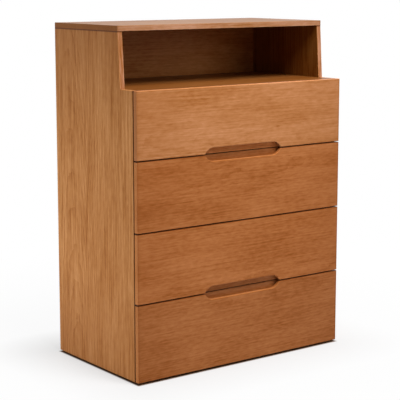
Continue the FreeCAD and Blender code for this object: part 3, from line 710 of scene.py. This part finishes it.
def add_copy(shape, pattern, place):
    """Adds a copy of a finished pattern at a place, given as a matrix."""
    mesh = bpy.data.meshes.new("copy")
    pattern.to_mesh(mesh)
    mesh.transform(place)
    shape.from_mesh(mesh)
    bpy.data.meshes.remove(mesh)


def half_box(node, side):
    """Lowest and highest corners of the half of a node on one side of the chest's middle."""
    points = [vertex.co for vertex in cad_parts[node].data.vertices if vertex.co.x * side > 0]
    return [Vector(choose(point[axis] for point in points) for axis in range(3)) for choose in (min, max)]


CHANNEL_STEEL = 0.0012
CHANNEL_BEND = 0.003
BEND_STEPS = 4
HOLE_STEPS = 12
HOLE_MARGIN = 0.0015
TINY = 0.00001
# Holes and slots through the webs of the runners, by their distance from the front end
Hole = namedtuple("Hole", "along radius slot", defaults=(0.0,))
CARCASS_HOLES = (Hole(0.014, 0.0032), Hole(0.09, 0.0032), Hole(0.15, 0.0024, 0.01), Hole(0.23, 0.0024, 0.01),
                 Hole(0.29, 0.0032), Hole(0.366, 0.0032))
MIDDLE_HOLES = (Hole(0.05, 0.006, 0.03), Hole(0.14, 0.006, 0.03), Hole(0.24, 0.006, 0.03), Hole(0.33, 0.006, 0.03))
DRAWER_HOLES = (Hole(0.016, 0.0024, 0.008), Hole(0.075, 0.0032), Hole(0.115, 0.0024, 0.01), Hole(0.165, 0.0032),
                Hole(0.245, 0.0024, 0.01), Hole(0.295, 0.0032), Hole(0.364, 0.0024, 0.008))


def flat_web(sheet, back):
    """The flat faces of a sheet's web, which lies across X at back."""
    return [face for face in sheet.faces if all(abs(vertex.co.x - back) < TINY for vertex in face.verts)]


def score(sheet, spots, axis):
    """Cuts the web of a sheet into cells by planes across an axis."""
    for spot in spots:
        parts = [part for face in flat_web(sheet, spot.x) for part in (face, *face.edges, *face.verts)]
        bmesh.ops.bisect_plane(sheet, geom=list(dict.fromkeys(parts)), dist=TINY, plane_co=spot, plane_no=axis)


def punch(sheet, spot, hole):
    """Makes the cell of a web at a spot a round hole, or a slot along Y."""
    cell = min(flat_web(sheet, spot.x), key=lambda face: (face.calc_center_median() - spot).length)
    outside = list(cell.edges)
    bmesh.ops.delete(sheet, geom=[cell], context="FACES_ONLY")
    turn = Matrix.Rotation(math.pi / 2, 4, "Y") @ Matrix.Rotation(math.pi / HOLE_STEPS, 4, "Z")
    place = Matrix.Translation(spot) @ turn
    ring = bmesh.ops.create_circle(sheet, segments=HOLE_STEPS, radius=hole.radius, matrix=place)["verts"]
    inside = list(dict.fromkeys(edge for vertex in ring for edge in vertex.link_edges))
    for vertex in ring:
        vertex.co.y += math.copysign(hole.slot / 2, vertex.co.y - spot.y)
    bmesh.ops.triangle_fill(sheet, edges=outside + inside, use_beauty=True, normal=X)


def add_channel(shape, box, web, holes):
    """Adds a rolled steel channel that fills a box. Its web is on the side of the box that web gives as 1 or -1
    along X, and its flanges point the other way."""
    low, high = box
    tip, back = (low.x, high.x) if web > 0 else (high.x, low.x)
    sheet = bmesh.new()
    corners = ((tip, low.z), (back, low.z), (back, high.z), (tip, high.z))
    section = chain(sheet, [(x, low.y, z) for x, z in corners])
    edges = [part for part in section if isinstance(part, bmesh.types.BMEdge)]
    swept = bmesh.ops.extrude_edge_only(sheet, edges=edges)["geom"]
    far_end = [part for part in swept if isinstance(part, bmesh.types.BMVert)]
    bmesh.ops.translate(sheet, verts=far_end, vec=(0, high.y - low.y, 0))
    sheet.normal_update()
    bends = [edge for edge in sheet.edges if len(edge.link_faces) == 2]
    bmesh.ops.bevel(sheet, geom=bends, offset=CHANNEL_BEND, offset_type="OFFSET", segments=BEND_STEPS, profile=0.5,
                    affect="EDGES", material=-1)
    spots = {hole: Vector((back, low.y + hole.along, (low.z + high.z) / 2)) for hole in holes}
    height = max(hole.radius for hole in holes) + HOLE_MARGIN
    score(sheet, [next(iter(spots.values())) + sign * height * Z for sign in (-1, 1)], Z)
    for hole, spot in spots.items():
        length = hole.radius + hole.slot / 2 + HOLE_MARGIN
        score(sheet, [spot - length * Y, spot + length * Y], Y)
    for hole, spot in spots.items():
        punch(sheet, spot, hole)
    sheet.normal_update()
    bmesh.ops.recalc_face_normals(sheet, faces=sheet.faces)
    sheet.normal_update()
    upper = max(sheet.faces, key=lambda face: face.calc_center_median().z)
    if upper.normal.z < 0:
        bmesh.ops.reverse_faces(sheet, faces=sheet.faces)
        sheet.normal_update()
    bmesh.ops.solidify(sheet, geom=list(sheet.faces), thickness=CHANNEL_STEEL)
    add_copy(shape, sheet, Matrix())
    sheet.free()


class CHEST_OT_runners(bpy.types.Operator):
    """Make the telescopic runners: rolled channels with punched webs"""
    bl_idname = "chest.runners"
    bl_label = "Runners"

    def execute(self, context):
        metal = context.scene.chest_metal
        steel = plated_steel("runner_steel", metal.runner_steel, metal.steel_roughness)
        for number in DRAWERS:
            middle = f"middle_runners_{number}"
            pair = bmesh.new()
            for name, side in SIDES.items():
                add_channel(pair, half_box(middle, side), side, MIDDLE_HOLES)
                members = (
                    (f"carcass_runner_{number}_{name}", "carcass", side, CARCASS_HOLES),
                    (f"drawer_{number}_runner_{name}", f"drawer_{number}", -side, DRAWER_HOLES),
                )
                for node, body, web, holes in members:
                    shape = bmesh.new()
                    add_channel(shape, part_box(node), web, holes)
                    finish_piece(f"{node}_channel", shape, steel, body, "runner_steel", node)
            finish_piece(f"{middle}_channels", pair, steel, middle, "runner_steel", middle)
        return {"FINISHED"}


HEAD_RADIUS = 0.0035
HEAD_HEIGHT = 0.0016
SHANK_RADIUS = 0.00175
CORE_RADIUS = 0.00125
THREAD_PITCH = 0.0018
RECESS_WIDTH = 0.0036
RECESS_TAPER = 0.00028
RECESS_DEPTH = 0.0009
SCREW_STEPS = 24
# Outline of a head from the rim of its flat top down, as shares of its radius and height
HEAD_OUTLINE = ((0.72, 1.0), (0.9, 0.8), (1.0, 0.4), (1.0, 0.0))
# Shares of a turn at which the thread has run down to the core, and at which the point begins
THREAD_ROOT = 0.7
POINT_START = 0.4
# Angle from one screw's recess to the next
SCREW_TWIST = 0.7


def screw_pattern(length):
    """A pan-head screw with a cross recess. Its head looks along Z and sits at the origin."""
    shape = bmesh.new()
    plate = bmesh.ops.create_grid(shape, x_segments=3, y_segments=3, size=RECESS_WIDTH / 2)["verts"]
    bmesh.ops.translate(shape, verts=plate, vec=(0, 0, HEAD_HEIGHT))
    arm = RECESS_WIDTH / 6
    corners = [f for f in shape.faces if min(abs(c) for c in f.calc_center_median().xy) > arm]
    bmesh.ops.delete(shape, geom=corners, context="FACES")
    cross = list(shape.faces)
    flat = HEAD_RADIUS * HEAD_OUTLINE[0][0]
    rim = bmesh.ops.create_circle(shape, segments=SCREW_STEPS, radius=flat)["verts"]
    bmesh.ops.translate(shape, verts=rim, vec=(0, 0, HEAD_HEIGHT))
    open_edges = [edge for edge in shape.edges if len(edge.link_faces) < 2]
    bmesh.ops.bridge_loops(shape, edges=open_edges)
    bmesh.ops.inset_region(shape, faces=cross, thickness=RECESS_TAPER, depth=-RECESS_DEPTH, use_even_offset=True)
    outline = [(HEAD_RADIUS * share, HEAD_HEIGHT * level) for share, level in HEAD_OUTLINE]
    outline.append((SHANK_RADIUS, 0))
    turns = int(length / THREAD_PITCH) - 2
    for turn in range(turns):
        outline.append((CORE_RADIUS, -THREAD_PITCH * (turn + THREAD_ROOT)))
        outline.append((SHANK_RADIUS, -THREAD_PITCH * (turn + 1)))
    outline += [(CORE_RADIUS, -THREAD_PITCH * (turns + POINT_START)), (0, -length)]
    lathe(shape, outline, SCREW_STEPS)
    bmesh.ops.remove_doubles(shape, verts=shape.verts, dist=TINY)
    return shape


def add_screws(shape, seats, direction, length):
    """Adds screws with heads that look in a direction, each turned by another amount."""
    pattern = screw_pattern(length)
    aim = direction.to_track_quat("Z", "Y").to_matrix().to_4x4()
    for index, seat in enumerate(seats):
        twist = Matrix.Rotation(SCREW_TWIST * index, 4, "Z")
        add_copy(shape, pattern, Matrix.Translation(seat) @ aim @ twist)
    pattern.free()


def inner_pair(low, high):
    """The middles of the outermost screw heads between two limits."""
    return low + HEAD_RADIUS, high - HEAD_RADIUS


BACK_SCREWS = 5
DRAWER_SCREWS = (0.04, 0.205, 0.33)
DRAWER_SCREW_LENGTH = 0.0115


class CHEST_OT_screws(bpy.types.Operator):
    """Make the cross-recess screws"""
    bl_idname = "chest.screws"
    bl_label = "Screws"

    def execute(self, context):
        metal = context.scene.chest_metal
        steel = plated_steel("screw_steel", metal.screw_steel, metal.steel_roughness)
        for number in DRAWERS:
            node = f"drawer_{number}_front_screws"
            low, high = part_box(node)
            seat = high.y - HEAD_HEIGHT
            seats = [(x, seat, z) for x in inner_pair(low.x, high.x) for z in inner_pair(low.z, high.z)]
            shape = bmesh.new()
            add_screws(shape, seats, Y, seat - low.y)
            finish_piece(f"drawer_{number}_front_pan_heads", shape, steel, f"drawer_{number}", "screw_steel", node)
            shape = bmesh.new()
            for name, side in SIDES.items():
                low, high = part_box(f"drawer_{number}_runner_{name}")
                seat = (low.x if side > 0 else high.x) + side * CHANNEL_STEEL
                seats = [(seat, low.y + along, (low.z + high.z) / 2) for along in DRAWER_SCREWS]
                add_screws(shape, seats, side * X, DRAWER_SCREW_LENGTH)
            finish_piece(f"drawer_{number}_runner_pan_heads", shape, steel, f"drawer_{number}", "screw_steel")
        low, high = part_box("back_panel_screws")
        seat = high.y - HEAD_HEIGHT
        first, last = inner_pair(low.x, high.x)
        step = (last - first) / (BACK_SCREWS - 1)
        seats = [(first + step * index, seat, (low.z + high.z) / 2) for index in range(BACK_SCREWS)]
        shape = bmesh.new()
        add_screws(shape, seats, Y, seat - low.y)
        finish_piece("back_panel_pan_heads", shape, steel, "carcass", "screw_steel", "back_panel_screws")
        low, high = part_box("runner_screws")
        shape = bmesh.new()
        for number in DRAWERS:
            for name, side in SIDES.items():
                lowest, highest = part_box(f"carcass_runner_{number}_{name}")
                seat = (highest.x if side > 0 else lowest.x) - side * CHANNEL_STEEL
                seats = [(seat, y, (lowest.z + highest.z) / 2) for y in inner_pair(low.y, high.y)]
                add_screws(shape, seats, -side * X, high.x - abs(seat))
        finish_piece("runner_pan_heads", shape, steel, "carcass", "screw_steel", "runner_screws")
        return {"FINISHED"}


SPARKS = (1500, 1500, 1500)
SCUFFS = (90, 90, 90)
SCUFF_SPREAD = 0.3
PLASTIC_ROUGHNESS = 0.35


def moulded_plastic(name, colour):
    """Dark moulded plastic with a fine spark-eroded grain and scuffed patches."""
    finish = Finish(name)
    place = finish.node("TexCoord").outputs["Object"]
    sparks = finish.noise(place, SPARKS, seed=90.0, detail=2).outputs["Fac"]
    scuffs = finish.noise(place, SCUFFS, seed=91.0, detail=4).outputs["Fac"]
    shade = finish.ramp(scuffs, (0.35, opaque(colour)), (0.75, opaque(colour, 1.8)))
    roughness = finish.math("MULTIPLY_ADD", scuffs, SCUFF_SPREAD, PLASTIC_ROUGHNESS)
    return finish.surface(finish.node("BsdfPrincipled", {
        "Base Color": shade, "Roughness": roughness, "Normal": finish.bump(sparks, strength=0.2, distance=0.0001),
    }))


GLIDE_RADIUS = 0.015
GLIDE_STEPS = 40
# Outline of a glide from the middle of its underside: nail head, ring that it stands on, rounded rim and top
GLIDE_OUTLINE = (
    (0.0, 0.0012), (0.0032, 0.0014), (0.0038, 0.0022),
    (0.0044, 0.0022), (0.0056, 0.0006), (0.0066, 0.0), (0.0122, 0.0), (0.0136, 0.0004),
    (0.0146, 0.0012), (0.015, 0.0024), (0.015, 0.0052), (0.0144, 0.006), (0.0, 0.006),
)


class CHEST_OT_glides(bpy.types.Operator):
    """Make the moulded glides under the chest"""
    bl_idname = "chest.glides"
    bl_label = "Glides"

    def execute(self, context):
        plastic = moulded_plastic("glide_plastic", context.scene.chest_metal.glide_plastic)
        low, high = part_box("glides")
        pattern = bmesh.new()
        lathe(pattern, GLIDE_OUTLINE, GLIDE_STEPS)
        bmesh.ops.remove_doubles(pattern, verts=pattern.verts, dist=TINY)
        shape = bmesh.new()
        for x in (low.x + GLIDE_RADIUS, high.x - GLIDE_RADIUS):
            for y in (low.y + GLIDE_RADIUS, high.y - GLIDE_RADIUS):
                add_copy(shape, pattern, Matrix.Translation((x, y, low.z)))
        pattern.free()
        finish_piece("nailed_glides", shape, plastic, "carcass", "glide_plastic", "glides")
        return {"FINISHED"}


# Camera, lamps and floor

Lamp = namedtuple("Lamp", "place target width height")
LAMPS = {
    "key": Lamp((0.1, -1.9, 3.7), (0, 0, 0.8), 1.8, 1.8),
    "fill": Lamp((1.9, -4.0, 1.9), (0, 0, 0.9), 2.4, 1.6),
    "left": Lamp((-2.0, 0.45, 0.25), (-0.4, 0, 0.1), 1.5, 0.4),
    "right": Lamp((2.0, 0.45, 0.25), (0.4, 0, 0.1), 1.5, 0.4),
    "rear": Lamp((0.6, 3.6, 2.2), (0, 0, 0.6), 2.4, 2.4),
}


def seen_rays(finish):
    """1 for rays that show the background itself, straight, in a reflection or through glass."""
    path = finish.node("LightPath")
    shown = finish.math("MAXIMUM", path.outputs["Is Camera Ray"], path.outputs["Is Glossy Ray"])
    return finish.math("MAXIMUM", shown, path.outputs["Is Transmission Ray"])


def add_camera(scene, stage):
    camera = bpy.data.cameras.new("photo_camera")
    camera.lens = stage.focal_length
    camera.shift_y = stage.frame_shift
    holder = bpy.data.objects.new("photo_camera", camera)
    holder.location = stage.camera_place
    holder.rotation_euler = (math.pi / 2 - stage.camera_dip, 0, -stage.camera_turn)
    scene.collection.objects.link(holder)
    scene.camera = holder


def add_lamp(scene, name, lamp, power):
    light = bpy.data.lights.new(f"{name}_lamp", "AREA")
    light.shape = "RECTANGLE"
    light.size = lamp.width
    light.size_y = lamp.height
    light.energy = power
    holder = bpy.data.objects.new(light.name, light)
    holder.location = lamp.place
    aim = Vector(lamp.target) - Vector(lamp.place)
    holder.rotation_euler = aim.to_track_quat("-Z", "Y").to_euler()
    holder.visible_camera = False
    holder.visible_glossy = False
    scene.collection.objects.link(holder)


def light_room(scene, stage):
    """An even white room: dim as a light, plain white where it is seen."""
    finish = Finish("room", scene.world or bpy.data.worlds.new("room"))
    scene.world = finish.material
    dim = finish.node("Background", {"Color": (1, 1, 1, 1), "Strength": stage.room_light})
    white = finish.node("Background", {"Color": (1, 1, 1, 1), "Strength": 1.0})
    mixed = finish.node("MixShader", {0: seen_rays(finish), 1: dim.outputs[0], 2: white.outputs[0]})
    finish.node("OutputWorld", {"Surface": mixed.outputs[0]})


FLOOR_FADE = 1.3
FLOOR_STEPS = 64
UNDER_EDGE = 0.006
# Painted shade: colour of the floor under the chest
UNDER_CHEST_SHADE = (0.16, 0.09, 0.05, 1.0)


def floor_finish(stage):
    """A pale matt floor that is seen as white and keeps the shadow of the chest. Near the chest it is a little
    grey even where lit, a painted shade round the base, and it fades to the white of the room further out. Under
    the chest it is painted dark brown without glow, as painted shade."""
    finish = Finish("pale_floor")
    place = finish.node("TexCoord").outputs["Object"]
    past = finish.vector("SUBTRACT", finish.vector("ABSOLUTE", place), CAD_BOX[1])
    distance = finish.vector("LENGTH", finish.vector("MAXIMUM", past, (0, 0, 0)))
    # Under the chest the floor is painted dark and has no glow, as painted shade
    under = finish.ramp(distance, (0.0, 0), (UNDER_EDGE, 1))
    # Near the chest the floor stays a little grey even where lit, a painted shade round the base, and it fades to
    # white further out
    far = finish.ramp(finish.math("DIVIDE", distance, FLOOR_FADE), (0.0, 0), (0.18, 0.85), (1.0, 1))
    matt = finish.node("BsdfDiffuse", {"Color": opaque((stage.floor_bounce,) * 3)})
    open_floor = opaque(stage.floor_colour, 1 - stage.floor_glow)
    soft = finish.node("BsdfDiffuse", {"Color": finish.mix(under, UNDER_CHEST_SHADE, open_floor)})
    glow = finish.node("Emission", {"Strength": finish.math("MULTIPLY", under, stage.floor_glow)})
    near = finish.node("AddShader", {0: soft.outputs[0], 1: glow.outputs[0]})
    white = finish.node("Emission", {"Strength": 1.0})
    shown = finish.node("MixShader", {0: far, 1: near.outputs[0], 2: white.outputs[0]})
    mixed = finish.node("MixShader", {0: seen_rays(finish), 1: matt.outputs[0], 2: shown.outputs[0]})
    return finish.surface(mixed)


class CHEST_OT_stage(bpy.types.Operator):
    """Set the camera, the soft lamps, the white room and the floor"""
    bl_idname = "chest.stage"
    bl_label = "Stage"

    def execute(self, context):
        scene = context.scene
        stage = scene.chest_stage
        scene.view_settings.view_transform = "Standard"
        add_camera(scene, stage)
        powers = {
            "key": stage.key_power, "fill": stage.fill_power, "rear": stage.rear_power,
            "left": stage.side_power, "right": stage.side_power,
        }
        for name, lamp in LAMPS.items():
            add_lamp(scene, name, lamp, powers[name])
        light_room(scene, stage)
        shape = bmesh.new()
        bmesh.ops.create_circle(shape, cap_ends=True, segments=FLOOR_STEPS, radius=stage.floor_radius)
        mesh = bpy.data.meshes.new("studio_floor")
        shape.to_mesh(mesh)
        shape.free()
        mesh.materials.append(floor_finish(stage))
        floor = bpy.data.objects.new("studio_floor", mesh)
        scene.collection.objects.link(floor)
        return {"FINISHED"}


class CHEST_PT_sidebar(bpy.types.Panel):
    """Lists the steps and the values of the chest"""
    bl_idname = "CHEST_PT_sidebar"
    bl_label = "Commode Chest"
    bl_space_type = "VIEW_3D"
    bl_region_type = "UI"
    bl_category = "Chest"

    def draw(self, context):
        for step in STEPS:
            self.layout.operator(step.bl_idname)
        for group in GROUPS:
            values = getattr(context.scene, group)
            box = self.layout.box()
            for name in values.__annotations__:
                box.prop(values, name)


STEPS = (
    CHEST_OT_stage, CHEST_OT_side_panels, CHEST_OT_top_and_niche, CHEST_OT_drawer_fronts, CHEST_OT_drawer_boxes,
    CHEST_OT_hidden_boards, CHEST_OT_runners, CHEST_OT_screws, CHEST_OT_glides,
)
GROUPS = {
    "chest_wood": ChestWood,
    "chest_inside": ChestInside,
    "chest_metal": ChestMetal,
    "chest_stage": ChestStage,
}


def register():
    for kind in (*GROUPS.values(), *STEPS, CHEST_PT_sidebar):
        bpy.utils.register_class(kind)
    for name, group in GROUPS.items():
        setattr(bpy.types.Scene, name, PointerProperty(type=group))


def unregister():
    for name in GROUPS:
        delattr(bpy.types.Scene, name)
    for kind in reversed((*GROUPS.values(), *STEPS, CHEST_PT_sidebar)):
        bpy.utils.unregister_class(kind)


def main():
    register()
    bpy.ops.chest.stage()
    bpy.ops.chest.side_panels()
    bpy.ops.chest.top_and_niche()
    bpy.ops.chest.drawer_fronts()
    bpy.ops.chest.drawer_boxes()
    bpy.ops.chest.hidden_boards()
    bpy.ops.chest.runners()
    bpy.ops.chest.screws()
    bpy.ops.chest.glides()


if __name__ == "__main__":
    main()
